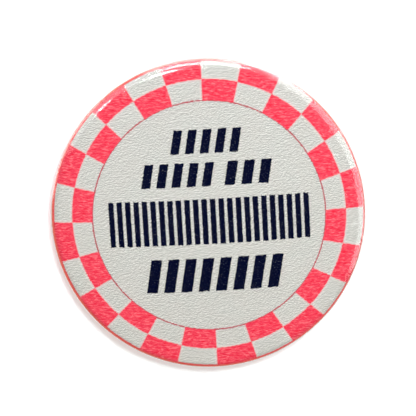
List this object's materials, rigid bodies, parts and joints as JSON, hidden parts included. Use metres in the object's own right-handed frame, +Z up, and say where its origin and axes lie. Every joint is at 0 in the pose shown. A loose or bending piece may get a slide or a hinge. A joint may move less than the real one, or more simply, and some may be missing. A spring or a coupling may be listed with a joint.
{
  "type": "button badge",
  "caption": "Round button badge: printed paper face under clear film on a domed tin shell, with a back plate and a wire pin that opens.",
  "frame": {"origin": "centre of the back plate's outer face, on its flat middle", "axes": "+Z up as worn, +Y out of the back towards the cloth, so the printed face looks along -Y"},
  "size_m": [0.032, 0.007, 0.032],
  "materials": {
    "clear_film": "clear glossy polyester film",
    "printed_paper": "off-white printed paper with pink-red checks and navy ink",
    "shell_tinplate": "bare tinplate",
    "back_tinplate": "bright rolled tinplate",
    "pin_steel": "bright nickel-plated spring wire"
  },
  "bodies": {
    "badge": {"clear_film": "clear_film", "printed_disc": "printed_paper", "front_shell": "shell_tinplate", "back_plate": "back_tinplate", "pin_hoop": "pin_steel"},
    "needle": {"pin_needle": "pin_steel"}
  },
  "joints": [
    {"name": "needle_open", "type": "hinge", "parent": "badge", "child": "needle", "pos_m": [-0.00852, 0.00077, 0.00183], "axis": [0, -0.7071, 0.7071], "range_deg": [0, 30]}
  ]
}
